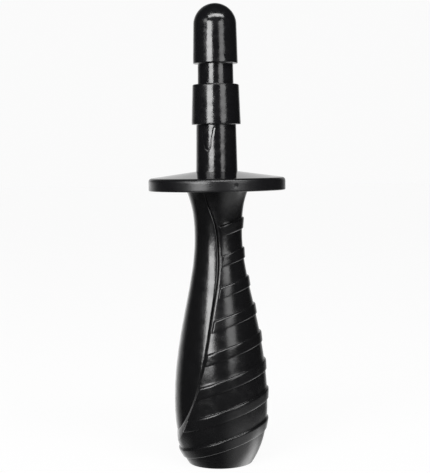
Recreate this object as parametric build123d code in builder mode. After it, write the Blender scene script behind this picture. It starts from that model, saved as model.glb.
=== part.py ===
from build123d import *
import os

# A hand grip with a round guard and a stepped, dome-ended push-fit plug.
# Millimetres, +Z up. The origin is the centre of the face that the grip stands on.
# -X is the side of the smooth leaf panel, +X is the side where the slanting bands are high.
# The grip is the same on its +Y and -Y sides.

os.makedirs("parts", exist_ok=True)

# ---------------------------------------------------------------- driving sizes

# Grip
grip_height = 158.0        # rest face to the guard's underside
foot_radius = 18.6         # edge of the rest face
belly_radius = 27.6        # widest place
belly_height = 36.0
waist_radius = 14.1        # narrowest place
waist_drop = 26.0          # waist, measured down from the guard
throat_radius = 17.8       # under the guard
flank_fullness = 0.585     # how far the middle of the flank stands out, 0 waist to 1 belly
sleeve_wall = 2.6          # sleeve over the core

# Leaf panel: how far its surface lies below the sleeve's at the foot, belly, flank, waist and throat
leaf_recess = (1.2, 1.45, 1.52, 0.8, 0.05)

# Long edge of the sleeve beside the panel, from the guard down: shares of belly_radius and grip_height
sleeve_edge = [
    (-0.24, 1.0), (-0.15, 0.941), (-0.05, 0.884), (0.02, 0.766),
    (-0.152, 0.547), (-0.43, 0.323), (-0.7, 0.175), (-0.905, 0.082),
]

# Bands round the sleeve
band_count = 8
plain_collar = 20.4        # sleeve without bands, below the guard
band_width = 6.6           # measured upright
band_proud = 1.1
band_slope = 1 / 3         # rise towards +X

# Guard
guard_radius = 39.3
rim_thickness = 7.0
rim_top_round = 2.0
rim_bottom_round = 0.5
cone_rise = 3.8            # from the rim's top up to the shank
boss_height = 1.5          # register boss under the guard

# Plug
shank_length = 26.8
shank_foot_radius = 11.95
shank_top_radius = 11.4
ring_length = 22.8
ring_foot_radius = 14.1
ring_top_radius = 13.3
ring_round = 0.6
neck_length = 11.8
neck_foot_radius = 10.25
neck_top_radius = 10.1
head_length = 21.9         # straight part of the head, below the dome
head_foot_radius = 12.8
dome_radius = 12.3
head_round = 0.2
key_width = 14.0           # square key below the shank
key_corner = 1.5
key_depth = 8.0            # how far the key goes into the core

# Threaded insert, screw and washers (M6)
thread_radius = 3.0
insert_radius = 4.5
insert_length = 18.0
insert_groove_width = 3.0
insert_groove_depth = 0.5
bolt_head_radius = 5.0
bolt_head_height = 6.0
bolt_head_round = 0.5
hex_across_flats = 5.0
hex_depth = 3.0
flat_washer_radius = 6.0
flat_washer_bore = 3.2
flat_washer_thickness = 1.6
lock_washer_radius = 5.9
lock_washer_bore = 3.05
lock_washer_thickness = 1.6
lock_washer_gap = 1.2

# Inside of the core
bulkhead_thickness = 8.7   # between the key's pocket and the screw's seat
core_rim = 3.6             # core left round the guard's register
hollow_ledge = 0.4         # above the collar, where the taper starts
foot_wrap = 3.0            # sleeve and cap below the core

# Base cap
foot_ring = 2.25           # width of the sleeve's part of the rest face
cap_lip = 1.6              # cap's plate beyond its collar
collar_wall = 2.0
collar_height = 8.0
snap_bead_radius = 0.6
snap_bead_height = 5.0     # above the core's lower end

# Clearances
key_clearance = 0.15       # each side of the square key
key_end_gap = 0.3
register_clearance = 0.15
register_gap = 0.2
bolt_clearance = 0.3       # round the screw in the bulkhead
bolt_end_gap = 0.2
washer_room = 1.5          # round the flat washer in the hollow
cap_clearance = 0.15
collar_end_gap = 1.0
bead_clearance = 0.1

# ---------------------------------------------------------------- worked-out places

waist_height = grip_height - waist_drop
flank_height = (belly_height + waist_height) / 2
flank_radius = waist_radius + flank_fullness * (belly_radius - waist_radius)
reach = 2 * belly_radius   # safely outside the grip

rim_top = grip_height + rim_thickness
shank_bottom = rim_top + cone_rise
ring_bottom = shank_bottom + shank_length
neck_bottom = ring_bottom + ring_length
head_bottom = neck_bottom + neck_length
dome_bottom = head_bottom + head_length
plug_tip = dome_bottom + dome_radius

key_bottom = grip_height - key_depth
pocket_bottom = key_bottom - key_end_gap
bulkhead_bottom = pocket_bottom - bulkhead_thickness
insert_top = key_bottom + insert_length
flat_washer_bottom = bulkhead_bottom - flat_washer_thickness
lock_washer_bottom = flat_washer_bottom - lock_washer_thickness
bolt_length = insert_top - bolt_end_gap - lock_washer_bottom
hollow_top_radius = flat_washer_radius + washer_room
boss_radius = throat_radius - sleeve_wall - core_rim
cap_flange_radius = foot_radius - foot_ring - cap_clearance
collar_radius = cap_flange_radius - cap_lip
hollow_mouth_radius = collar_radius - hollow_ledge
collar_top = foot_wrap + collar_height
bead_z = foot_wrap + snap_bead_height
band_pitch = (grip_height - plain_collar) / band_count


# ---------------------------------------------------------------- shared outlines

def grip_half(insets):
    """Half section of the grip, moved in by its own amount at each station from foot to guard."""
    foot, belly, flank, waist, throat = insets
    Spline(
        (foot_radius - foot, 0),
        (belly_radius - belly, belly_height),
        (flank_radius - flank, flank_height),
        (waist_radius - waist, waist_height),
        (throat_radius - throat, grip_height),
        tangents=[(0.66, 1), (0, 1), (-0.2, 1), (0, 1), (0.42, 1)],
    )
    Polyline((throat_radius - throat, grip_height), (0, grip_height), (0, 0), (foot_radius - foot, 0))


def panel_side():
    """Seen from the front: everything on the panel's side of the sleeve's long edge."""
    points = [(x * belly_radius, z * grip_height) for x, z in sleeve_edge]
    Spline(*points)
    Polyline(points[-1], (-reach, points[-1][1]), (-reach, grip_height), points[0])


def insert_half():
    """Half section of the threaded insert's outside, with its middle groove."""
    waist = insert_radius - insert_groove_depth
    middle = key_bottom + insert_length / 2
    Polyline(
        (0, key_bottom),
        (insert_radius, key_bottom),
        (insert_radius, middle - insert_groove_width / 2),
        (waist, middle - insert_groove_width / 2),
        (waist, middle + insert_groove_width / 2),
        (insert_radius, middle + insert_groove_width / 2),
        (insert_radius, insert_top),
        (0, insert_top),
        close=True,
    )


# ---------------------------------------------------------------- plug and its insert

# One moulding. The steps are what locks: the ring and the head are wider than the neck and
# the shank, and each widens downwards, so a soft socket slides on easily and grips.
with BuildPart() as plug:
    with BuildSketch(Plane.XZ):
        with BuildLine():
            Polyline(
                (0, shank_bottom),
                (shank_foot_radius, shank_bottom),
                (shank_top_radius, ring_bottom),
                (ring_foot_radius, ring_bottom),
                (ring_top_radius, neck_bottom),
                (neck_foot_radius, neck_bottom),
                (neck_top_radius, head_bottom),
                (head_foot_radius, head_bottom),
                (dome_radius, dome_bottom),
            )
            CenterArc((0, dome_bottom), dome_radius, 0, 90)
            Line((0, plug_tip), (0, shank_bottom))
        make_face()
    revolve(axis=Axis.Z)
    circles = plug.edges().filter_by(GeomType.CIRCLE)
    ring_top_edges = circles.filter_by_position(Axis.Z, neck_bottom - 0.01, neck_bottom + 0.01)
    fillet(ring_top_edges.sort_by(SortBy.RADIUS)[-1], ring_round)
    head_foot_edges = circles.filter_by_position(Axis.Z, head_bottom - 0.01, head_bottom + 0.01)
    fillet(head_foot_edges.sort_by(SortBy.RADIUS)[-1], head_round)
    with BuildSketch(Plane.XY.offset(shank_bottom)):
        RectangleRounded(key_width, key_width, key_corner)
    extrude(amount=key_bottom - shank_bottom)
    with BuildSketch(Plane.XZ):
        with BuildLine():
            insert_half()
        make_face()
    revolve(axis=Axis.Z, mode=Mode.SUBTRACT)
plug.part.label = "plug"
export_step(plug.part, "parts/plug.step")

# Brass, moulded into the key, open at both ends.
with BuildPart() as plug_insert:
    with BuildSketch(Plane.XZ):
        with BuildLine():
            insert_half()
        make_face()
    revolve(axis=Axis.Z)
    with BuildSketch(Plane.XY.offset(key_bottom)):
        Circle(thread_radius)
    extrude(amount=insert_length, mode=Mode.SUBTRACT)
plug_insert.part.label = "plug_insert"
export_step(plug_insert.part, "parts/plug_insert.step")

# ---------------------------------------------------------------- guard

# A flat rim that rises in a shallow cone to the shank, with a boss below that centres it.
with BuildPart() as guard_disc:
    with BuildSketch(Plane.XZ):
        with BuildLine():
            Polyline(
                (0, grip_height - boss_height),
                (boss_radius, grip_height - boss_height),
                (boss_radius, grip_height),
                (guard_radius, grip_height),
                (guard_radius, rim_top),
                (shank_foot_radius, shank_bottom),
                (0, shank_bottom),
                close=True,
            )
        make_face()
    revolve(axis=Axis.Z)
    rim_edges = guard_disc.edges().filter_by(GeomType.CIRCLE).group_by(SortBy.RADIUS)[-1].sort_by(Axis.Z)
    fillet(rim_edges[0], rim_bottom_round)
    fillet(rim_edges[-1], rim_top_round)
    hole_width = key_width + 2 * key_clearance
    with BuildSketch(Plane.XY.offset(grip_height - boss_height)):
        RectangleRounded(hole_width, hole_width, key_corner)
    extrude(amount=boss_height + rim_thickness + cone_rise, mode=Mode.SUBTRACT)
guard_disc.part.label = "guard_disc"
export_step(guard_disc.part, "parts/guard_disc.step")

# ---------------------------------------------------------------- grip core

# The panel's side of the sleeve's long edge, straight through the grip.
with BuildPart() as leaf_side:
    with BuildSketch(Plane.XZ):
        with BuildLine():
            panel_side()
        make_face()
    extrude(amount=reach, both=True)

# The leaf panel, flush with the core's own surface under the sleeve.
with BuildPart() as leaf:
    with BuildSketch(Plane.XZ):
        with BuildLine():
            grip_half(leaf_recess)
        make_face()
    revolve(axis=Axis.Z)
    add(leaf_side.part, mode=Mode.INTERSECT)

# The core as the sleeve sees it, still solid, standing on the foot's wrap.
with BuildPart() as core_under_sleeve:
    with BuildSketch(Plane.XZ):
        with BuildLine():
            grip_half([sleeve_wall] * 5)
        make_face()
    revolve(axis=Axis.Z)
    split(bisect_by=Plane.XY.offset(foot_wrap), keep=Keep.TOP)

with BuildPart() as grip_core:
    add(core_under_sleeve.part)
    add(leaf.part)
    # Tapered hollow, from the cap's collar up to the screw's seat
    with BuildSketch(Plane.XZ):
        with BuildLine():
            Polyline(
                (0, foot_wrap),
                (collar_radius + cap_clearance, foot_wrap),
                (collar_radius + cap_clearance, collar_top + collar_end_gap),
                (hollow_mouth_radius, collar_top + collar_end_gap),
                (hollow_top_radius, bulkhead_bottom),
                (0, bulkhead_bottom),
                close=True,
            )
        make_face()
    revolve(axis=Axis.Z, mode=Mode.SUBTRACT)
    # Groove that the cap's bead snaps into
    with BuildSketch(Plane.XZ):
        with Locations((collar_radius, bead_z)):
            Circle(snap_bead_radius + bead_clearance)
    revolve(axis=Axis.Z, mode=Mode.SUBTRACT)
    # Screw hole, key's pocket and the guard's register
    with BuildSketch(Plane.XY.offset(bulkhead_bottom)):
        Circle(thread_radius + bolt_clearance)
    extrude(amount=bulkhead_thickness, mode=Mode.SUBTRACT)
    with BuildSketch(Plane.XY.offset(pocket_bottom)):
        RectangleRounded(hole_width, hole_width, key_corner)
    extrude(amount=grip_height - pocket_bottom, mode=Mode.SUBTRACT)
    with BuildSketch(Plane.XY.offset(grip_height)):
        Circle(boss_radius + register_clearance)
    extrude(amount=-(boss_height + register_gap), mode=Mode.SUBTRACT)
grip_core.part.label = "grip_core"
export_step(grip_core.part, "parts/grip_core.step")

# ---------------------------------------------------------------- grip sleeve

# The bands: slices of a slightly larger grip, cut between slanting parallel planes.
with BuildPart() as bands:
    with BuildSketch(Plane.XZ):
        with BuildLine():
            grip_half([-band_proud] * 5)
        make_face()
    revolve(axis=Axis.Z)
    rise = band_slope * reach
    with BuildSketch(Plane.XZ):
        for number in range(1, band_count + 1):
            top = number * band_pitch
            with BuildLine():
                Polyline(
                    (-reach, top - rise),
                    (reach, top + rise),
                    (reach, top + rise - band_width),
                    (-reach, top - rise - band_width),
                    close=True,
                )
            make_face()
    extrude(amount=reach, both=True, mode=Mode.INTERSECT)

# Moulded over the core, open over the leaf panel, wrapped under the foot to form the rest face.
with BuildPart() as grip_sleeve:
    with BuildSketch(Plane.XZ):
        with BuildLine():
            grip_half([0] * 5)
        make_face()
    revolve(axis=Axis.Z)
    add(bands.part)
    add(leaf_side.part, mode=Mode.SUBTRACT)
    add(core_under_sleeve.part, mode=Mode.SUBTRACT)
    with BuildSketch(Plane.XY):
        Circle(cap_flange_radius + cap_clearance)
    extrude(amount=foot_wrap, mode=Mode.SUBTRACT)
grip_sleeve.part.label = "grip_sleeve"
export_step(grip_sleeve.part, "parts/grip_sleeve.step")

# ---------------------------------------------------------------- base cap

# A plate level with the rest face, and a collar with a bead that snaps into the core.
with BuildPart() as base_cap:
    with BuildSketch(Plane.XY):
        Circle(cap_flange_radius)
    extrude(amount=foot_wrap)
    with BuildSketch(Plane.XY.offset(foot_wrap)):
        Circle(collar_radius)
        Circle(collar_radius - collar_wall, mode=Mode.SUBTRACT)
    extrude(amount=collar_height)
    with BuildSketch(Plane.XZ):
        with Locations((collar_radius, bead_z)):
            Circle(snap_bead_radius)
    revolve(axis=Axis.Z)
base_cap.part.label = "base_cap"
export_step(base_cap.part, "parts/base_cap.step")

# ---------------------------------------------------------------- screw and washers

with BuildPart() as flat_washer:
    with BuildSketch(Plane.XY.offset(flat_washer_bottom)):
        Circle(flat_washer_radius)
        Circle(flat_washer_bore, mode=Mode.SUBTRACT)
    extrude(amount=flat_washer_thickness)
flat_washer.part.label = "flat_washer"
export_step(flat_washer.part, "parts/flat_washer.step")

# Split, and pressed flat by the screw.
with BuildPart() as lock_washer:
    with BuildSketch(Plane.XY.offset(lock_washer_bottom)):
        Circle(lock_washer_radius)
        Circle(lock_washer_bore, mode=Mode.SUBTRACT)
        with Locations((lock_washer_radius, 0)):
            Rectangle(2 * lock_washer_radius, lock_washer_gap, mode=Mode.SUBTRACT)
    extrude(amount=lock_washer_thickness)
lock_washer.part.label = "lock_washer"
export_step(lock_washer.part, "parts/lock_washer.step")

with BuildPart() as tie_bolt:
    with BuildSketch(Plane.XY.offset(lock_washer_bottom)):
        Circle(bolt_head_radius)
    extrude(amount=-bolt_head_height)
    fillet(tie_bolt.faces().sort_by(Axis.Z)[0].edges(), bolt_head_round)
    with BuildSketch(Plane.XY.offset(lock_washer_bottom)):
        Circle(thread_radius)
    extrude(amount=bolt_length)
    with BuildSketch(Plane.XY.offset(lock_washer_bottom - bolt_head_height)):
        RegularPolygon(hex_across_flats / 2, 6, major_radius=False)
    extrude(amount=hex_depth, mode=Mode.SUBTRACT)
tie_bolt.part.label = "tie_bolt"
export_step(tie_bolt.part, "parts/tie_bolt.step")

print("height", plug_tip, "band pitch", band_pitch, "screw length", round(bolt_length, 2))
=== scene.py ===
# %% [markdown]
# # A hand grip with a round guard and a stepped push-fit plug
#
# The object is four black mouldings that show and five small pieces that don't. The CAD model settles
# every size. This lesson gives each moulding the soft edges, slight ripples and gloss that real
# plastic has, and keeps every surface where the CAD puts it.
#
# Almost everything here is round about one upright axis, so one idea builds most of it: a stack of
# rings, each ring a loop of points at the same angles, joined to the next ring by quads.

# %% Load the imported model
import math

import bmesh
import bpy
import numpy as np
from mathutils import Matrix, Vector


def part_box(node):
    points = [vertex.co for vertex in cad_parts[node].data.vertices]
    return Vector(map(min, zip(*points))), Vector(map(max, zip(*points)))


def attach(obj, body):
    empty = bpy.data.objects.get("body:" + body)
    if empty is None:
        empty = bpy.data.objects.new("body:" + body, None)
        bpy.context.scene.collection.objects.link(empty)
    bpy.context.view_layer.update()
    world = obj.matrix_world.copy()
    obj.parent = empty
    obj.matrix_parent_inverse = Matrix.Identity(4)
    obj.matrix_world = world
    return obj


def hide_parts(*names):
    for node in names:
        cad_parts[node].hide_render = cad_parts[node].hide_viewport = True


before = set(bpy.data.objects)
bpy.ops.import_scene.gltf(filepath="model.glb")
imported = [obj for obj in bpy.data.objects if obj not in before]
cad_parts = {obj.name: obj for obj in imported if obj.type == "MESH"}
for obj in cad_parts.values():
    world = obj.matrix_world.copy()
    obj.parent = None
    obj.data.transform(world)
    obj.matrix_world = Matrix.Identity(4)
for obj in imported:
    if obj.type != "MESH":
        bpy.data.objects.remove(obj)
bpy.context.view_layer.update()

MM = 0.001
print("CAD nodes:", sorted(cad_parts))

# %% [markdown]
# ## Sizes, in millimetres
#
# The places come from the CAD nodes' own boxes. A box only says where a piece starts and ends, so the
# shape inside it (where the neck is, how thick the rim is) is named here once, for every step below.

# %% Read the main heights and radii from the CAD
def node_box(node):
    """Lowest and highest corner of a CAD node, in millimetres."""
    low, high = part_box(node)
    return np.array(low) / MM, np.array(high) / MM


grip_height = node_box("grip_core")[1][2]
plug_tip = node_box("plug")[1][2]
key_bottom = node_box("plug")[0][2]
guard_radius = node_box("guard_disc")[1][0]
guard_boss_bottom = node_box("guard_disc")[0][2]
shank_bottom = node_box("guard_disc")[1][2]
core_bottom = node_box("grip_core")[0][2]
insert_radius = node_box("plug_insert")[1][0]
insert_top = node_box("plug_insert")[1][2]
screw_seat = node_box("flat_washer")[1][2]
print(f"grip {grip_height:.1f}, shank from {shank_bottom:.1f}, tip {plug_tip:.1f} mm")

# %% [markdown]
# ## A ring-stack builder
#
# Blender's Spin and Screw tools turn a profile into a lathe shape, but they can't change the section
# from round to square on the way, or press a small dent into one side. A ring stack can: every ring is
# its own radius for each angle and its own height. The angle runs anticlockwise from +X, so the front
# of the object, which faces -Y, is at minus 90 degrees.

# %% Turn rings of points into a mesh piece
def ring_angles(count):
    """Evenly spaced angles round the axis, in radians."""
    return np.arange(count) * 2 * math.pi / count - math.pi


def make_piece(name, points, faces, sharp_degrees=38):
    """A smooth-shaded mesh object from points in millimetres. Only real corners stay sharp."""
    mesh = bpy.data.meshes.new(name)
    mesh.from_pydata((np.asarray(points) * MM).tolist(), [], faces)
    mesh.validate()
    mesh.shade_smooth()
    mesh.set_sharp_from_angle(angle=math.radians(sharp_degrees))
    piece = bpy.data.objects.new(name, mesh)
    bpy.context.collection.objects.link(piece)
    print(f"{name}: {len(mesh.vertices)} points, {len(mesh.polygons)} faces")
    return piece


def stack_rings(name, rings, start_pole=None, end_pole=None):
    """Joins rings of (radii, height) into a closed skin. A ring may bring its own angles as a third item.
    With no poles the last ring meets the first."""
    even = ring_angles(len(rings[0][0]))
    count, columns = len(rings), len(even)
    points = []
    for radii, height, *turned in rings:
        angles = turned[0] if turned else even
        level = np.full(columns, height)
        points += list(np.column_stack([radii * np.cos(angles), radii * np.sin(angles), level]))
    faces = []
    loops = count if start_pole is None and end_pole is None else count - 1
    for ring in range(loops):
        here, above = ring * columns, (ring + 1) % count * columns
        for column in range(columns):
            beside = (column + 1) % columns
            faces.append((here + column, here + beside, above + beside, above + column))
    if start_pole is not None:
        points.append((0, 0, start_pole))
        pole = len(points) - 1
        faces += [((c + 1) % columns, c, pole) for c in range(columns)]
    if end_pole is not None:
        points.append((0, 0, end_pole))
        pole, last = len(points) - 1, (count - 1) * columns
        faces += [(last + c, last + (c + 1) % columns, pole) for c in range(columns)]
    return make_piece(name, points, faces)


# %% Round the corners of a profile and split its long runs
def soften(profile, step):
    """Half section with each (radius, height, rounding) corner rounded, and no run longer than step."""
    flat = np.array([corner[:2] for corner in profile], float)
    path = [flat[0]]
    for before, here, after, corner in zip(flat, flat[1:], flat[2:], profile[1:-1]):
        rounding = corner[2] if len(corner) > 2 else 0
        if not rounding:
            path.append(here)
            continue
        toward, away = before - here, after - here
        toward, away = toward / np.linalg.norm(toward), away / np.linalg.norm(away)
        half_turn = (math.pi - math.acos(np.clip(toward @ away, -1, 1))) / 2
        reach = rounding * math.tan(half_turn)
        middle = here + (toward + away) / np.linalg.norm(toward + away) * rounding / math.cos(half_turn)
        start, end = here + toward * reach, here + away * reach
        first = math.atan2(*(start - middle)[::-1])
        sweep = (math.atan2(*(end - middle)[::-1]) - first + math.pi) % (2 * math.pi) - math.pi
        for share in np.linspace(0, 1, 6):
            turn = first + sweep * share
            path.append(middle + rounding * np.array([math.cos(turn), math.sin(turn)]))
    path.append(flat[-1])
    fine = [path[0]]
    for end in path[1:]:
        parts = max(1, math.ceil(np.linalg.norm(end - fine[-1]) / step))
        fine += [fine[-1] + (end - fine[-1]) * share / parts for share in range(1, parts + 1)]
    return fine


def circles(profile, columns):
    """One round ring for each point of a profile."""
    return [(np.full(columns, float(radius)), float(height)) for radius, height in profile]


def rounded_square(width, corner, columns):
    """Radius of a square with rounded corners, at each ring angle."""
    fold = np.abs((ring_angles(columns) + math.pi / 4) % (math.pi / 2) - math.pi / 4)
    half, centre = width / 2, width / 2 - corner
    flat_side = half / np.cos(fold)
    along = centre * (np.cos(fold) + np.sin(fold))
    round_corner = along + np.sqrt(np.maximum(along**2 - 2 * centre**2 + corner**2, 0))
    return np.where(half * np.tan(fold) <= centre, flat_side, round_corner)


# %% [markdown]
# ## The finishes
#
# All four visible mouldings are black thermoplastic with a polished-mould gloss. Black plastic is hard
# to get right because it has almost no colour of its own: what the eye reads is the reflection, how
# sharp it is, and how the surface's faint unevenness breaks its edges. So each finish is a nearly black
# base, the refractive index of the resin, a roughness that wanders a little where hands have been, and
# two scales of bump: the slow ripple of plastic that shrank in the mould, and a fine orange peel.

# %% Colours and nodes
def linear(hex_colour):
    """An sRGB hex colour as the linear RGBA that shaders use."""
    parts = [int(hex_colour[i:i + 2], 16) / 255 for i in (1, 3, 5)]
    return [p / 12.92 if p <= 0.04045 else ((p + 0.055) / 1.055) ** 2.4 for p in parts] + [1.0]


def add_node(tree, kind, settings=None, inputs=None):
    """Adds a node. Inputs are values, or other nodes' outputs to link."""
    node = tree.nodes.new(kind)
    for name, value in (settings or {}).items():
        setattr(node, name, value)
    for name, value in (inputs or {}).items():
        if isinstance(value, bpy.types.NodeSocket):
            tree.links.new(value, node.inputs[name])
        else:
            node.inputs[name].default_value = value
    return node


# %% Black moulded plastic
def moulded_plastic(name, colour, ior, roughness, ripple, ripple_depth, grain, grain_depth):
    """Gloss black plastic. ripple and grain are pattern sizes in mm, depths are in mm too."""
    material = bpy.data.materials.new(name)
    material.use_nodes = True
    tree = material.node_tree
    shader = tree.nodes["Principled BSDF"]
    place = add_node(tree, "ShaderNodeTexCoord").outputs["Object"]
    slow = add_node(tree, "ShaderNodeTexNoise", {}, {
        "Vector": place, "Scale": 1 / (ripple * MM), "Detail": 2.0, "Roughness": 0.4})
    fine = add_node(tree, "ShaderNodeTexNoise", {}, {
        "Vector": place, "Scale": 1 / (grain * MM), "Detail": 3.0, "Roughness": 0.55})
    handled = add_node(tree, "ShaderNodeMapRange", {}, {
        "Value": slow.outputs["Fac"], "From Min": 0.3, "From Max": 0.7,
        "To Min": roughness[0], "To Max": roughness[1]})
    ripples = add_node(tree, "ShaderNodeBump", {}, {
        "Height": slow.outputs["Fac"], "Strength": 1.0, "Distance": ripple_depth * MM})
    peel = add_node(tree, "ShaderNodeBump", {}, {
        "Height": fine.outputs["Fac"], "Strength": 1.0, "Distance": grain_depth * MM,
        "Normal": ripples.outputs["Normal"]})
    tint = add_node(tree, "ShaderNodeMix", {"data_type": "RGBA"}, {
        "Factor": fine.outputs["Fac"], "A": linear(colour[0]), "B": linear(colour[1])})
    tree.links.new(tint.outputs["Result"], shader.inputs["Base Color"])
    tree.links.new(handled.outputs["Result"], shader.inputs["Roughness"])
    tree.links.new(peel.outputs["Normal"], shader.inputs["Normal"])
    shader.inputs["IOR"].default_value = ior
    return material


# Rigid PVC, moulded in a polished steel tool: sharp reflections with slightly wavy edges.
plug_pvc = moulded_plastic("moulded_rigid_pvc_plug", ("#0B0B0C", "#111113"), 1.54, (0.11, 0.24),
                           ripple=3.5, ripple_depth=0.09, grain=0.9, grain_depth=0.028)
guard_pvc = moulded_plastic("moulded_rigid_pvc_guard", ("#0C0C0D", "#121214"), 1.54, (0.26, 0.34),
                            ripple=8, ripple_depth=0.10, grain=0.9, grain_depth=0.012)
guard_top_pvc = moulded_plastic("polished_rigid_pvc_guard_top", ("#0C0C0D", "#121214"), 1.54, (0.08, 0.12),
                                ripple=12, ripple_depth=0.03, grain=0.9, grain_depth=0.003)
# ABS, moulded and buffed: the smoothest surface on the object.
core_abs = moulded_plastic("moulded_abs_grip_core", ("#0B0B0C", "#101011"), 1.53, (0.14, 0.24),
                           ripple=5, ripple_depth=0.09, grain=0.8, grain_depth=0.032)
# Soft PVC moulded over the core: a little duller, and lumpier where it is thick.
sleeve_pvc = moulded_plastic("overmoulded_soft_pvc_sleeve", ("#0B0B0C", "#121213"), 1.52, (0.18, 0.28),
                             ripple=4, ripple_depth=0.10, grain=0.7, grain_depth=0.022)
print("finishes:", [m.name for m in bpy.data.materials])

# %% [markdown]
# ## The plug
#
# On the real object this is one solid moulding: a domed head, an undercut neck, a wide locking ring, a
# shank, and below the guard a square key that keeps it from turning. Every step widens downwards, which
# is what grips. The molten plastic left one mark worth keeping, a shallow U-shaped flow line low on
# the shank, so the rings there are close enough together to hold it.

# %% Name the plug's sizes
ring_bottom = shank_bottom + 26.8
ring_top = ring_bottom + 22.8
head_bottom = ring_top + 11.8
dome_radius = 12.3
dome_bottom = plug_tip - dome_radius
key_width, key_corner = 14.0, 1.5
plug_columns = 288

# Flow line: (degrees from the front, mm below the ring), on the left of the front
flow_line = [(-43, 2.5), (-40, 8.4), (-33, 13.6), (-24.5, 14.9), (-18.5, 13.3), (-14, 9.1), (-6.5, 2.2)]
flow_line_depth, flow_line_width = 0.13, 0.42


def distance_to_path(along, up, path):
    """Shortest distance from each point to a path of straight runs."""
    best = np.full(np.shape(along), np.inf)
    for (x0, y0), (x1, y1) in zip(path, path[1:]):
        run_x, run_y = x1 - x0, y1 - y0
        share = np.clip(((along - x0) * run_x + (up - y0) * run_y) / (run_x**2 + run_y**2), 0, 1)
        best = np.minimum(best, np.hypot(along - x0 - share * run_x, up - y0 - share * run_y))
    return best


# %% Build the plug
shank_profile = soften([(11.95, shank_bottom), (11.42, ring_bottom - 0.8)], step=0.35)
shank_profile += soften([
    (11.42, ring_bottom - 0.8), (11.4, ring_bottom, 0.25), (14.1, ring_bottom, 0.35),
    (13.3, ring_top, 0.8), (10.25, ring_top, 0.3), (10.1, head_bottom, 0.3),
    (12.8, head_bottom, 0.35), (dome_radius, dome_bottom),
], step=1.3)[1:]
dome_turns = np.linspace(0, math.pi / 2, 34)[1:-1]
dome_profile = [(dome_radius * math.cos(t), dome_bottom + dome_radius * math.sin(t)) for t in dome_turns]

front_degrees = (np.degrees(ring_angles(plug_columns)) + 90 + 180) % 360 - 180
plug_rings = []
for radii, height in circles(shank_profile + dome_profile, plug_columns):
    if shank_bottom < height < ring_bottom - 0.3:
        around = np.radians(front_degrees) * radii
        path = [(math.radians(degrees) * radii[0], ring_bottom - drop) for degrees, drop in flow_line]
        gap = distance_to_path(around, np.full(plug_columns, height), path)
        radii = radii - flow_line_depth * np.exp(-(gap / flow_line_width) ** 2)
    plug_rings.append((radii, height))

key_ring = rounded_square(key_width, key_corner, plug_columns)
pocket = np.full(plug_columns, insert_radius)
key_rings = [(pocket, insert_top), (pocket, key_bottom), (key_ring, key_bottom), (key_ring, shank_bottom)]
plug = stack_rings("plug_moulding", key_rings + plug_rings, start_pole=insert_top, end_pole=plug_tip)

# %% [markdown]
# ## The guard
#
# A thick round rim that rises in a shallow cone to the shank. Its top corner is the only generous
# radius on the object, and it carries the long soft highlight at the front. The moulding gate left a
# small round dimple on the rim, a little to the right of the front.

# %% Build the guard
rim_top = grip_height + 7.0
boss_radius = 11.6
key_hole_width = key_width + 0.3
gate_degrees, gate_height, gate_radius, gate_depth = 15.5, grip_height + 3.4, 1.1, 0.35
guard_columns = 512

guard_profile = soften([
    (boss_radius, guard_boss_bottom), (boss_radius, grip_height), (guard_radius, grip_height, 0.5),
    (guard_radius, rim_top, 2.0), (11.95, shank_bottom),
], step=0.8)
front_degrees = (np.degrees(ring_angles(guard_columns)) + 90 + 180) % 360 - 180
guard_rings = []
for radii, height in circles(guard_profile, guard_columns):
    if radii[0] > guard_radius - 0.6:
        around = np.radians(front_degrees - gate_degrees) * guard_radius
        gap = np.hypot(around, height - gate_height) / gate_radius
        radii = radii - gate_depth * np.clip(1 - gap**2, 0, 1)
    guard_rings.append((radii, height))
key_hole = rounded_square(key_hole_width, key_corner, guard_columns)
guard_rings = [(key_hole, guard_boss_bottom)] + guard_rings + [(key_hole, shank_bottom)]
guard = stack_rings("guard_moulding", guard_rings)

# %% [markdown]
# ## The grip's side line
#
# Foot, belly, flank, waist and throat: five stations, each with a radius and a lean, and a smooth cubic
# between neighbours. The same line moved in a little makes the leaf panel, and moved in by the
# sleeve's wall it makes the core. Two more curves, seen from the front, mark where the sleeve's long
# edge begins to roll over and where it meets the panel.

# %% Grip curves
station_heights = np.array([0, 36, 84, 132, 158]) / 158 * grip_height
station_radii = np.array([18.6, 27.6, 22.0, 14.1, 17.8])
station_leans = np.array([0.66, 0.0, -0.2, 0.0, 0.42])
leaf_recess = np.array([1.2, 1.45, 1.52, 0.8, 0.05])
sleeve_wall = 2.6


def smooth_curve(at, places, values, slopes):
    """Cubic curve through values at places, with the given slopes."""
    at = np.clip(at, places[0], places[-1])
    span = np.clip(np.searchsorted(places, at, side="right") - 1, 0, len(places) - 2)
    width = places[span + 1] - places[span]
    t = (at - places[span]) / width
    return ((1 + 2 * t) * (1 - t) ** 2 * values[span] + t * (1 - t) ** 2 * width * slopes[span]
            + t**2 * (3 - 2 * t) * values[span + 1] + t**2 * (t - 1) * width * slopes[span + 1])


def grip_radius(height, inset=0.0):
    """Radius of the grip's side line at a height, moved in by an amount or by one for each station."""
    return smooth_curve(np.asarray(height, float), station_heights, station_radii - inset, station_leans)


def edge_curve(points):
    """A curve x = f(height) through points given from the foot up."""
    x, z = np.array(points, float).T
    slopes = np.gradient(x, z)
    return lambda height: smooth_curve(np.asarray(height, float), z, x, slopes)


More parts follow.
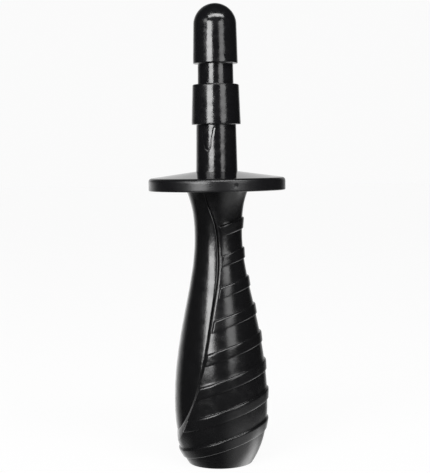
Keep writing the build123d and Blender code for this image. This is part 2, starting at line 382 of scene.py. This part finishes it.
# Where the sleeve starts to roll over, and where its rolled edge meets the leaf panel
roll_tip, crease_tip = 12.9, 19.5
roll_x = edge_curve([(-grip_radius(roll_tip), roll_tip), (-21.3, 20.5), (-17.4, 31), (-10.6, 51),
                     (-2.7, 86.4), (2.0, 121), (-0.6, 141.3), (-3.3, 148.7), (-6.0, grip_height)])
crease_x = edge_curve([(-grip_radius(crease_tip, leaf_recess), crease_tip), (-21.7, 25), (-18.3, 32),
                       (-11.9, 51), (-4.2, 86.4), (0.3, 121), (-2.1, 141.3), (-4.8, 148.7),
                       (-7.5, grip_height)])
print("grip radius at foot, belly, waist:", grip_radius([0, 36, 132]).round(2))

# %% [markdown]
# ## The core and its leaf panel
#
# The core is a rigid hollow moulding. Most of it is hidden under the sleeve; the leaf panel on the left
# stands out from it and shows. One ring stack makes it all: outside up, register and key pocket down,
# screw hole, then the tapered hollow and the cap's seat.

# %% Build the core
core_columns = 300
edge_column_angle = math.radians(99.6)
register_radius, register_depth = 11.75, 1.7
screw_hole_radius, screw_seat_radius = 3.3, 7.5
pocket_clearance = 0.3
hollow_top, hollow_bottom = (10.5, 84), (14.2, 12)
cap_seat_radius = 14.75
channel_depth, channel_width = 0.7, 0.35
ramp_depth, ramp_tuck = 0.12, 0.3
channel_start, channel_fade = 52, 16


def channel_share(height):
    """How far the sleeve's edge is a roll with an open channel, 1, rather than a plain ramp, 0."""
    return np.clip((height - channel_start) / channel_fade, 0, 1)


angles = ring_angles(core_columns)
core_levels = np.concatenate([[core_bottom], np.linspace(core_bottom + 1, grip_height, 190)])
core_rings = []
for height in core_levels:
    hidden = float(grip_radius(height, sleeve_wall))
    panel = float(grip_radius(height, leaf_recess))
    clear = float(channel_share(height)) * (channel_width + ramp_tuck) - ramp_tuck
    ratio = (float(crease_x(height)) - clear) / panel
    if height < crease_tip or ratio < -0.999:
        core_rings.append((np.full(core_columns, hidden), height))
        continue
    edge = math.acos(ratio)
    turned = np.interp(abs(angles), [0, edge_column_angle, math.pi], [0, edge, math.pi]) * np.sign(angles)
    steps_in = (abs(angles) - edge_column_angle) / (2 * math.pi / core_columns)
    lip = np.interp(steps_in, [-1, 0, 1, 2], [0, 0.86, 0.97, 1])
    core_rings.append((hidden + (panel - hidden) * lip, height, turned))

register_floor = grip_height - register_depth
pocket_bottom = key_bottom - pocket_clearance
pocket_ring = rounded_square(key_hole_width, key_corner, core_columns)
inside = circles([(register_radius, grip_height), (register_radius, register_floor)], core_columns)
inside += [(pocket_ring, register_floor), (pocket_ring, pocket_bottom)]
inside += circles([(screw_hole_radius, pocket_bottom), (screw_hole_radius, screw_seat),
                   (screw_seat_radius, screw_seat), hollow_top, hollow_bottom,
                   (cap_seat_radius, hollow_bottom[1]), (cap_seat_radius, core_bottom)], core_columns)
core = stack_rings("grip_core_moulding", core_rings + inside)

# %% [markdown]
# ## The sleeve, as a sheet that already knows where its bands go
#
# Eight raised bands run round the sleeve on slanting, parallel planes. A plain upright grid can't hold
# such an edge: it would step across the grid like a staircase. So the sheet's rings are slanted too.
# Each ring has one "turn height", the height where its plane crosses the axis, and rings crowd
# together where a band starts or ends. The slant fades out to level at the foot and at the guard. The
# columns stop where the sleeve rolls over towards the leaf panel, and from there a narrow strip runs
# down to the crease.

# %% Choose the rings
band_count = 8
plain_collar = 20.4
band_pitch = (grip_height - plain_collar) / band_count
band_width = 6.6
band_slope = 1 / 3
top_round, top_fillet, foot_round = 1.5, 0.35, 0.55
step_gap = 0.001  # keeps two rings just either side of a band's top edge
proud_at_top, proud_at_foot = 1.1, 0.7
foot_opening = 16.35
first_band_foot = band_pitch - band_width
last_band_top = band_count * band_pitch


def ring_slope(turn):
    """Slant of the ring at a turn height: full between the bands, level at the foot and guard."""
    if turn < first_band_foot:
        return band_slope * turn / first_band_foot
    if turn > last_band_top:
        return band_slope * (grip_height - turn) / (grip_height - last_band_top)
    return band_slope


roll_in = 1 - np.cos(np.linspace(0, math.pi / 2, 8))
drops = np.concatenate([
    -top_fillet * np.array([1, 0.62, 0.35, 0.16, 0.05]), [-step_gap],
    step_gap + top_round * roll_in, np.linspace(top_round, band_width - foot_round, 5)[1:-1],
    band_width - foot_round * roll_in[::-1],
])
ground = np.linspace(band_width, band_pitch - top_fillet, 8)[1:-1]
turns = [number * band_pitch - drop for number in range(1, band_count + 1)
         for drop in [*drops, *ground]]

tip_turn = roll_tip + band_slope * float(grip_radius(roll_tip))
near_tip = tip_turn + np.array([0, 0.03, 0.12, 0.3, 0.6, 1.0, 1.6, 2.3, 3.2])
turns = [t for t in turns if abs(t - near_tip).min() > 0.25] + list(near_tip)
turns += [0, 0.4, 1.0, 1.8, 2.8, 4.0, 5.4, 7.0, 8.6, 9.8]
turns = np.array(sorted(t for t in turns if t < last_band_top + 1))
turns = np.concatenate([turns, np.linspace(turns[-1], grip_height, 14)[1:]])
tip_ring = int(np.argmin(abs(turns - tip_turn)))
print(f"{len(turns)} rings, band pitch {band_pitch:.2f} mm, leaf tip on ring {tip_ring}")

# %% Lay out the sheet's points
sleeve_half_columns = 72
strip_steps = 8


def on_plane(turn, slope, angle):
    """Height where the grip's surface meets the slanting plane, at each angle."""
    height = np.full(np.shape(angle), float(turn))
    for _ in range(40):
        height = turn + slope * grip_radius(height) * np.cos(angle)
    return height


def last_angle(turn):
    """Angle where a ring reaches the line that the sleeve rolls over on, or half a turn."""
    angle = np.linspace(0, math.pi, 2001)
    height = on_plane(turn, ring_slope(turn), angle)
    past = grip_radius(height) * np.cos(angle) - roll_x(height)
    if turn <= tip_turn + 1e-6 or past.min() > 0:
        return math.pi
    first = int(np.argmax(past < 0))
    return float(np.interp(0, [past[first], past[first - 1]], [angle[first], angle[first - 1]]))


spread = np.linspace(-1, 1, 2 * sleeve_half_columns + 1)
spread = spread * (1.3 - 0.3 * spread**2)
ends = np.array([last_angle(turn) for turn in turns])
angles = ends[:, None] * spread[None, :]
slopes = np.array([ring_slope(turn) for turn in turns])
heights = np.array([on_plane(t, s, row) for t, s, row in zip(turns, slopes, angles)])
heights[0], heights[-1] = 0.0, grip_height
radii = grip_radius(heights)


def upright(radius, angle, height):
    """Points from radius, angle and height."""
    return np.stack([radius * np.cos(angle), radius * np.sin(angle), height], axis=-1)


outer = upright(radii, angles, heights)
outward = upright(np.ones_like(angles), angles, slopes[:, None] * np.cos(angles))
edge_gap = (ends[:, None] - abs(angles)) * radii
fade = np.where(ends[:, None] > math.pi - 1e-6, 1.0, np.clip(edge_gap / 0.9, 0, 1))
fade = fade * fade * (3 - 2 * fade)

# %% Find where the rolled edge meets the leaf panel
edge_angle, edge_height = ends, heights[:, -1]
crease_rise = (crease_tip - roll_tip) * np.exp(-(edge_height - roll_tip) / 8)
crease_height = np.minimum(edge_height + crease_rise, grip_height)
crease_ratio = crease_x(crease_height) / grip_radius(crease_height, leaf_recess)
crease_angle = np.arccos(np.clip(crease_ratio, -1, 1))
crease_angle[tip_ring] = math.pi

# %% Lay out the inner wall, against the core, and round the cap's plate at the foot
inner_ends = np.where(ends > math.pi - 1e-6, math.pi, crease_angle)
inner_angles = inner_ends[:, None] * spread[None, :]
inner_slopes = band_slope * np.clip((turns - 6) / 14, 0, 1) ** 2 * np.clip((grip_height - turns) / 10, 0, 1)
inner_heights = np.array([on_plane(t, s, row) for t, s, row in zip(turns, inner_slopes, inner_angles)])
inner_heights[-1] = grip_height
inner_radii = grip_radius(inner_heights, sleeve_wall)
inner_radii[turns < core_bottom] = foot_opening
inner = upright(inner_radii, inner_angles, inner_heights)

# %% Lay out the strip between the roll and the crease
share = np.linspace(0, 1, strip_steps + 1)[1:]
strip_angle = edge_angle[:, None] + (crease_angle - edge_angle)[:, None] * share
strip_height = edge_height[:, None] + (crease_height - edge_height)[:, None] * share
panel_radius = grip_radius(strip_height, leaf_recess)
rolled = channel_share(strip_height)
roll_drop = share * (1 - rolled) + (0.25 * share + 0.75 * share**5) * rolled
strip_radius = panel_radius + (grip_radius(strip_height) - panel_radius) * (1 - roll_drop)
strip_radius -= (ramp_depth + (channel_depth - ramp_depth) * rolled) * share**6
strips = {side: upright(strip_radius, side * strip_angle, strip_height) for side in (-1, 1)}

# %% Join it into one closed sheet
rows, columns = outer.shape[:2]
points = np.concatenate([outer.reshape(-1, 3), inner.reshape(-1, 3),
                         strips[-1].reshape(-1, 3), strips[1].reshape(-1, 3)])
inner_start = rows * columns
strip_start = {-1: 2 * rows * columns, 1: 2 * rows * columns + rows * strip_steps}


def strip_index(side, row, step):
    """Point of a strip: step 0 is on the sheet's outer edge."""
    if step == 0:
        return row * columns + (columns - 1 if side > 0 else 0)
    return strip_start[side] + row * strip_steps + step - 1


faces = []
for row in range(rows - 1):
    for column in range(columns - 1):
        a = row * columns + column
        faces.append((a, a + 1, a + columns + 1, a + columns))
        b = inner_start + a
        faces.append((b, b + columns, b + columns + 1, b + 1))
for row in (0, rows - 1):
    for column in range(columns - 1):
        a = row * columns + column
        faces.append((a, inner_start + a, inner_start + a + 1, a + 1))
for side in (-1, 1):
    inner_edge = inner_start + (columns - 1 if side > 0 else 0)
    for row in range(tip_ring, rows - 1):
        for step in range(strip_steps):
            faces.append((strip_index(side, row, step), strip_index(side, row, step + 1),
                          strip_index(side, row + 1, step + 1), strip_index(side, row + 1, step)))
        faces.append((strip_index(side, row, strip_steps), inner_edge + row * columns,
                      inner_edge + (row + 1) * columns, strip_index(side, row + 1, strip_steps)))
    faces.append([strip_index(side, rows - 1, step) for step in range(strip_steps + 1)]
                 + [inner_edge + (rows - 1) * columns])

sleeve = make_piece("grip_sleeve_moulding", points, faces)
zeros = np.zeros(len(points) - inner_start)
knowledge = {
    "turn_height": np.concatenate([np.repeat(turns, columns), zeros]),
    "fade": np.concatenate([fade.ravel(), zeros]),
}
for label, values in knowledge.items():
    layer = sleeve.data.attributes.new(label, "FLOAT", "POINT")
    layer.data.foreach_set("value", values.astype(np.float32))
layer = sleeve.data.attributes.new("outward", "FLOAT_VECTOR", "POINT")
directions = np.concatenate([outward.reshape(-1, 3), np.zeros((len(zeros), 3))])
layer.data.foreach_set("vector", directions.astype(np.float32).ravel())

# %% Weld the seam at the back of the foot and face everything outwards
shape = bmesh.new()
shape.from_mesh(sleeve.data)
bmesh.ops.remove_doubles(shape, verts=shape.verts, dist=1e-7)
loose = [vert for vert in shape.verts if not vert.link_faces]
bmesh.ops.delete(shape, geom=loose, context="VERTS")
bmesh.ops.dissolve_degenerate(shape, dist=1e-8, edges=shape.edges)
bmesh.ops.recalc_face_normals(shape, faces=shape.faces)
open_edges = sum(1 for edge in shape.edges if len(edge.link_faces) != 2)
shape.to_mesh(sleeve.data)
shape.free()
print("edges without exactly two faces:", open_edges)

# %% [markdown]
# ## The bands, by Geometry Nodes
#
# A band is a rule, not a drawing: how far a point lies below the nearest band's top decides how far it
# moves out. The band stands proudest at its top edge and sinks towards its lower one, like a wrapped
# tape. With the rule in a node tree, pitch, width and height are named inputs that anyone can change.
# The tree reads the three values stored on the sheet's points.

# %% Build the band tree
def new_tree(name, sizes):
    """A geometry node tree with a geometry in and out, named sizes and a material."""
    tree = bpy.data.node_groups.new(name, "GeometryNodeTree")
    tree.interface.new_socket("Geometry", in_out="INPUT", socket_type="NodeSocketGeometry")
    for label in sizes:
        tree.interface.new_socket(label, in_out="INPUT", socket_type="NodeSocketFloat")
    tree.interface.new_socket("Finish", in_out="INPUT", socket_type="NodeSocketMaterial")
    tree.interface.new_socket("Geometry", in_out="OUTPUT", socket_type="NodeSocketGeometry")
    return tree


def add_maths(tree, values, steps):
    """Runs through maths steps (label, operation, terms...), where a term is a number or a label."""
    for label, operation, *terms in steps:
        node = add_node(tree, "ShaderNodeMath", {"operation": operation, "label": label},
                        {place: values.get(term, term) for place, term in enumerate(terms)})
        values[label] = node.outputs["Value"]
    return values


def finish_tree(tree, geometry, finish):
    """Ends a tree with real geometry in one finish."""
    real = add_node(tree, "GeometryNodeRealizeInstances", {}, {"Geometry": geometry})
    coated = add_node(tree, "GeometryNodeSetMaterial", {}, {
        "Geometry": real.outputs["Geometry"], "Material": finish})
    add_node(tree, "NodeGroupOutput", {}, {"Geometry": coated.outputs["Geometry"]})


def run_tree(piece, tree, sizes, finish):
    """Runs a tree on a piece and keeps the result as its plain mesh."""
    modifier = piece.modifiers.new(tree.name, "NODES")
    modifier.node_group = tree
    sockets = {item.name: item.identifier for item in tree.interface.items_tree
               if item.in_out == "INPUT"}
    for label, value in sizes.items():
        modifier[sockets[label]] = float(value)
    modifier[sockets["Finish"]] = finish
    depsgraph = bpy.context.evaluated_depsgraph_get()
    result = bpy.data.meshes.new_from_object(piece.evaluated_get(depsgraph))
    piece.modifiers.clear()
    piece.data = result
    print(f"{piece.name} after {tree.name}: {len(result.polygons)} faces")


band_sizes = {"Band Pitch": band_pitch, "Band Count": band_count, "Band Width": band_width,
              "Proud At Top": proud_at_top, "Proud At Foot": proud_at_foot,
              "Top Rounding": top_round, "Top Fillet": top_fillet, "Foot Rounding": foot_round}
band_tree = new_tree("wrap_bands", band_sizes)
given = add_node(band_tree, "NodeGroupInput").outputs
values = {label: given[label] for label in band_sizes}
for label in ("turn_height", "fade"):
    stored = add_node(band_tree, "GeometryNodeInputNamedAttribute", {"data_type": "FLOAT"}, {"Name": label})
    values[label] = stored.outputs["Attribute"]
add_maths(band_tree, values, [
    ("rise", "FLOORED_MODULO", "turn_height", "Band Pitch"),
    ("drop", "SUBTRACT", "Band Pitch", "rise"),
    ("on band", "LESS_THAN", "drop", "Band Width"),
    ("collar", "MULTIPLY", "Band Pitch", "Band Count"),
    ("past fillet", "ADD", "collar", "Top Fillet"),
    ("below collar", "LESS_THAN", "turn_height", "past fillet"),
    ("fits", "LESS_THAN", "turn_height", "collar"),
    ("share", "DIVIDE", "drop", "Band Width"),
    ("taper", "SUBTRACT", "Proud At Top", "Proud At Foot"),
    ("lost", "MULTIPLY", "taper", "share"),
    ("proud", "SUBTRACT", "Proud At Top", "lost"),
    ("top ratio", "DIVIDE", "drop", "Top Rounding"),
    ("top near", "MINIMUM", "top ratio", 1.0),
    ("top far", "SUBTRACT", 1.0, "top near"),
    ("top square", "MULTIPLY", "top far", "top far"),
    ("top arc", "SUBTRACT", 1.0, "top square"),
    ("top roll", "SQRT", "top arc"),
    ("above fillet", "SUBTRACT", "proud", "Top Fillet"),
    ("risen", "MULTIPLY_ADD", "top roll", "above fillet", "Top Fillet"),
    ("left", "SUBTRACT", "Band Width", "drop"),
    ("foot ratio", "DIVIDE", "left", "Foot Rounding"),
    ("foot near", "MINIMUM", "foot ratio", 1.0),
    ("foot clear", "MAXIMUM", "foot near", 0.0),
    ("foot far", "SUBTRACT", 1.0, "foot clear"),
    ("foot square", "MULTIPLY", "foot far", "foot far"),
    ("foot arc", "SUBTRACT", 1.0, "foot square"),
    ("foot roll", "SQRT", "foot arc"),
    ("shaped", "MULTIPLY", "risen", "foot roll"),
    ("in place", "MULTIPLY", "shaped", "on band"),
    ("on its own", "MULTIPLY", "in place", "fits"),
    ("fillet ratio", "DIVIDE", "rise", "Top Fillet"),
    ("fillet near", "SUBTRACT", 1.0, "fillet ratio"),
    ("fillet clear", "MAXIMUM", "fillet near", 0.0),
    ("fillet square", "MULTIPLY", "fillet clear", "fillet clear"),
    ("fillet arc", "SUBTRACT", 1.0, "fillet square"),
    ("fillet root", "SQRT", "fillet arc"),
    ("fillet gap", "SUBTRACT", 1.0, "fillet root"),
    ("fillet", "MULTIPLY", "fillet gap", "Top Fillet"),
    ("above first", "GREATER_THAN", "turn_height", 1.0),
    ("real fillet", "MULTIPLY", "fillet", "above first"),
    ("banded", "ADD", "on its own", "real fillet"),
    ("counted", "MULTIPLY", "banded", "below collar"),
    ("faded", "MULTIPLY", "counted", "fade"),
    ("lift", "MULTIPLY", "faded", MM),
])
direction = add_node(band_tree, "GeometryNodeInputNamedAttribute", {"data_type": "FLOAT_VECTOR"},
                     {"Name": "outward"}).outputs["Attribute"]
offset = add_node(band_tree, "ShaderNodeVectorMath", {"operation": "SCALE"},
                  {"Vector": direction, "Scale": values["lift"]})
moved = add_node(band_tree, "GeometryNodeSetPosition", {}, {
    "Geometry": given["Geometry"], "Offset": offset.outputs["Vector"]})
finish_tree(band_tree, moved.outputs["Geometry"], given["Finish"])
run_tree(sleeve, band_tree, band_sizes, sleeve_pvc)
sleeve.data.set_sharp_from_angle(angle=math.radians(32))

# %% [markdown]
# ## The pieces that don't show
#
# The cap, the washers, the screw and the brass insert keep their CAD shapes.
# They still get real finishes, because each can be opened up and looked at by itself.

# %% Metals and the cap's plastic
def plated_metal(name, colour, roughness, grain):
    """A machined or plated metal with fine tool marks. grain is the mark spacing in mm."""
    material = bpy.data.materials.new(name)
    material.use_nodes = True
    tree = material.node_tree
    shader = tree.nodes["Principled BSDF"]
    place = add_node(tree, "ShaderNodeTexCoord").outputs["Object"]
    marks = add_node(tree, "ShaderNodeTexNoise", {}, {
        "Vector": place, "Scale": 1 / (grain * MM), "Detail": 2.0})
    worn = add_node(tree, "ShaderNodeMapRange", {}, {
        "Value": marks.outputs["Fac"], "To Min": roughness[0], "To Max": roughness[1]})
    tint = add_node(tree, "ShaderNodeMix", {"data_type": "RGBA"}, {
        "Factor": marks.outputs["Fac"], "A": linear(colour[0]), "B": linear(colour[1])})
    tree.links.new(tint.outputs["Result"], shader.inputs["Base Color"])
    tree.links.new(worn.outputs["Result"], shader.inputs["Roughness"])
    shader.inputs["Metallic"].default_value = 1.0
    return material


turned_brass = plated_metal("turned_brass_insert", ("#D8B469", "#C79F55"), (0.22, 0.38), grain=0.5)
zinc_steel = plated_metal("bright_zinc_plated_steel", ("#C9CCD0", "#B4B8BD"), (0.25, 0.42), grain=0.8)
cap_abs = moulded_plastic("moulded_abs_base_cap", ("#151516", "#1E1E20"), 1.53, (0.38, 0.5),
                          ripple=9, ripple_depth=0.05, grain=0.5, grain_depth=0.02)

# %% Give every piece its finish and its body, and hide the CAD node it stands for
def finish_piece(piece, material, node):
    """A modelled piece that stands for a CAD node."""
    piece.data.materials.clear()
    piece.data.materials.append(material)
    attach(piece, "root")
    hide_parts(node)


finish_piece(plug, plug_pvc, "plug")
finish_piece(guard, guard_pvc, "guard_disc")
guard.data.materials.append(guard_top_pvc)
for face in guard.data.polygons:
    face.material_index = int(face.center.z > (rim_top + 0.1) * MM)
finish_piece(core, core_abs, "grip_core")
finish_piece(sleeve, sleeve_pvc, "grip_sleeve")
kept = {"base_cap": cap_abs, "plug_insert": turned_brass, "flat_washer": zinc_steel,
        "lock_washer": zinc_steel, "tie_bolt": zinc_steel}
for node, material in kept.items():
    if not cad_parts[node].material_slots:
        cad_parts[node].data.materials.append(material)
    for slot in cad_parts[node].material_slots:
        slot.material = material

# %% [markdown]
# ## The studio
#
# Gloss black shows nothing but its surroundings, so the lights and the world are shaped to suit one
# view, from the front. Two soft boxes left and right of the camera draw the upright stripes, a dim one
# further round fills the left, and a strip overhead draws the arch on the dome and the bands' top edges.
# The world is bright behind the object and dim behind the camera.
#
# Three choices are for the picture and not for the object. The board glows, so the lights leave hardly
# any shade on it. Reflections don't see the board. And the camera sees an even backdrop, whatever the
# world's brightness is there.

# %% Floor
floor_white = bpy.data.materials.new("glowing_white_board")
floor_white.use_nodes = True
floor_tree = floor_white.node_tree
floor_shader = floor_tree.nodes["Principled BSDF"]
fibres = add_node(floor_tree, "ShaderNodeTexNoise", {}, {
    "Vector": add_node(floor_tree, "ShaderNodeTexCoord").outputs["Object"],
    "Scale": 1 / (25 * MM)})
board = add_node(floor_tree, "ShaderNodeMix", {"data_type": "RGBA"}, {
    "Factor": fibres.outputs["Fac"], "A": linear("#343434"), "B": linear("#383838")})
floor_tree.links.new(board.outputs["Result"], floor_shader.inputs["Base Color"])
floor_shader.inputs["Roughness"].default_value = 0.9
floor_shader.inputs["Emission Color"].default_value = (1, 1, 1, 1)
floor_shader.inputs["Emission Strength"].default_value = 0.93
floor_mesh = bpy.data.meshes.new("floor")
floor_half = 6.0
floor_mesh.from_pydata([(-floor_half, -floor_half, 0), (floor_half, -floor_half, 0),
                        (floor_half, floor_half, 0), (-floor_half, floor_half, 0)], [], [(0, 1, 2, 3)])
floor_mesh.materials.append(floor_white)
floor = bpy.data.objects.new("floor", floor_mesh)
bpy.context.collection.objects.link(floor)
floor.visible_glossy = False

# %% Soft boxes
def soft_box(name, azimuth, elevation, distance, width, height, radiance, lean=0):
    """A rectangular light that faces the object. Azimuth 0 is the camera's side, positive to the right."""
    data = bpy.data.lights.new(name, "AREA")
    data.shape = "RECTANGLE"
    data.size, data.size_y = width, height
    data.energy = radiance * math.pi * width * height
    light = bpy.data.objects.new(name, data)
    aside, up = math.radians(azimuth), math.radians(elevation)
    light.location = (distance * math.sin(aside) * math.cos(up),
                      -distance * math.cos(aside) * math.cos(up),
                      light_aim + distance * math.sin(up))
    facing = Matrix.Rotation(aside, 4, "Z") @ Matrix.Rotation(math.pi / 2 - up, 4, "X")
    light.rotation_euler = (facing @ Matrix.Rotation(math.radians(lean), 4, "Z")).to_euler()
    bpy.context.collection.objects.link(light)
    return light


# Azimuth and elevation in degrees, distance, width and height in metres, then radiance
light_aim = 0.20
soft_box("left_soft_box", -29.2, 8.0, 1.2, 0.56, 0.42, 12.0)
soft_box("left_fill", -52.0, 20.5, 1.2, 0.34, 0.34, 4.0)
soft_box("right_soft_box", 34.0, 9.0, 1.2, 0.50, 0.46, 3.8, lean=22)
soft_box("overhead_strip", 8.0, 49.0, 1.2, 1.7, 0.30, 12.0)

# %% World: bright behind the object, dim behind the camera
backdrop = 0.96
world = bpy.data.worlds.new("studio")
bpy.context.scene.world = world
world.use_nodes = True
sky = world.node_tree
toward = add_node(sky, "ShaderNodeTexCoord").outputs["Generated"]
parts = add_node(sky, "ShaderNodeSeparateXYZ", {}, {"Vector": toward}).outputs


def band_of_sky(axis, start, end, low, high):
    """Brightness that rises smoothly from low to high as a direction's X, Y or Z goes from start to end."""
    return add_node(sky, "ShaderNodeMapRange", {"interpolation_type": "SMOOTHSTEP"}, {
        "Value": parts[axis], "From Min": start, "From Max": end, "To Min": low, "To Max": high,
    }).outputs["Result"]


front_brightness, wall_brightness = 0.02, 0.8
right_floor_brightness, low_left_brightness, side_floor_brightness = 0.9, 0.95, 2.6
glow = add_maths(sky, {
    "behind": band_of_sky("Y", 0.75, 1.0, 0.0, 1.0),
    "not in front": band_of_sky("Y", -0.1, 0.5, 0.0, 1.0),
    "below": band_of_sky("Z", -0.15, -0.5, 0.0, 1.0),
    "far below": band_of_sky("Z", -0.35, -0.6, 0.0, 1.0),
    "low": band_of_sky("Z", 0.12, -0.04, 0.2, 1.0),
    "left": band_of_sky("X", -0.1, -0.35, 0.0, 1.0),
    "to the back": band_of_sky("Y", 0.4, 0.85, 0.0, 1.0),
    "right": band_of_sky("X", 0.0, 0.8, 0.0, 1.0),
    "not left": band_of_sky("X", -0.6, 0.3, 0.2, 1.0),
    "not far back": band_of_sky("Y", 0.4, 0.85, 1.0, 0.3),
}, [
    ("wall", "MULTIPLY_ADD", "behind", wall_brightness, front_brightness),
    ("floor to the right", "MULTIPLY", "below", "right"),
    ("with floor", "MULTIPLY_ADD", "floor to the right", right_floor_brightness, "wall"),
    ("low left", "MULTIPLY", "low", "left"),
    ("low left behind", "MULTIPLY", "low left", "to the back"),
    ("with glow", "MULTIPLY_ADD", "low left behind", low_left_brightness, "with floor"),
    ("floor behind", "MULTIPLY", "not in front", "far below"),
    ("floor behind and right", "MULTIPLY", "floor behind", "not left"),
    ("floor beside", "MULTIPLY", "floor behind and right", "not far back"),
    ("all", "MULTIPLY_ADD", "floor beside", side_floor_brightness, "with glow"),
])
seen = add_node(sky, "ShaderNodeLightPath").outputs["Is Camera Ray"]
shown = add_node(sky, "ShaderNodeMix", {"data_type": "FLOAT"}, {
    "Factor": seen, "A": glow["all"], "B": backdrop})
sky.links.new(shown.outputs["Result"], sky.nodes["Background"].inputs["Strength"])
sky.nodes["Background"].inputs["Color"].default_value = (1, 1, 1, 1)
bpy.context.scene.view_settings.view_transform = "Standard"

# %% Camera
camera_distance, camera_height = 0.680, 0.179
look_down, lean, aside = math.radians(4.016), math.radians(0.78), -0.0009
lens = bpy.data.cameras.new("camera")
lens.lens = 89.94
camera = bpy.data.objects.new("camera", lens)
camera.location = (aside, -camera_distance, camera_height)
camera.rotation_mode = "XYZ"
camera.rotation_euler = (math.pi / 2 - look_down, lean, 0)
bpy.context.collection.objects.link(camera)
bpy.context.scene.camera = camera
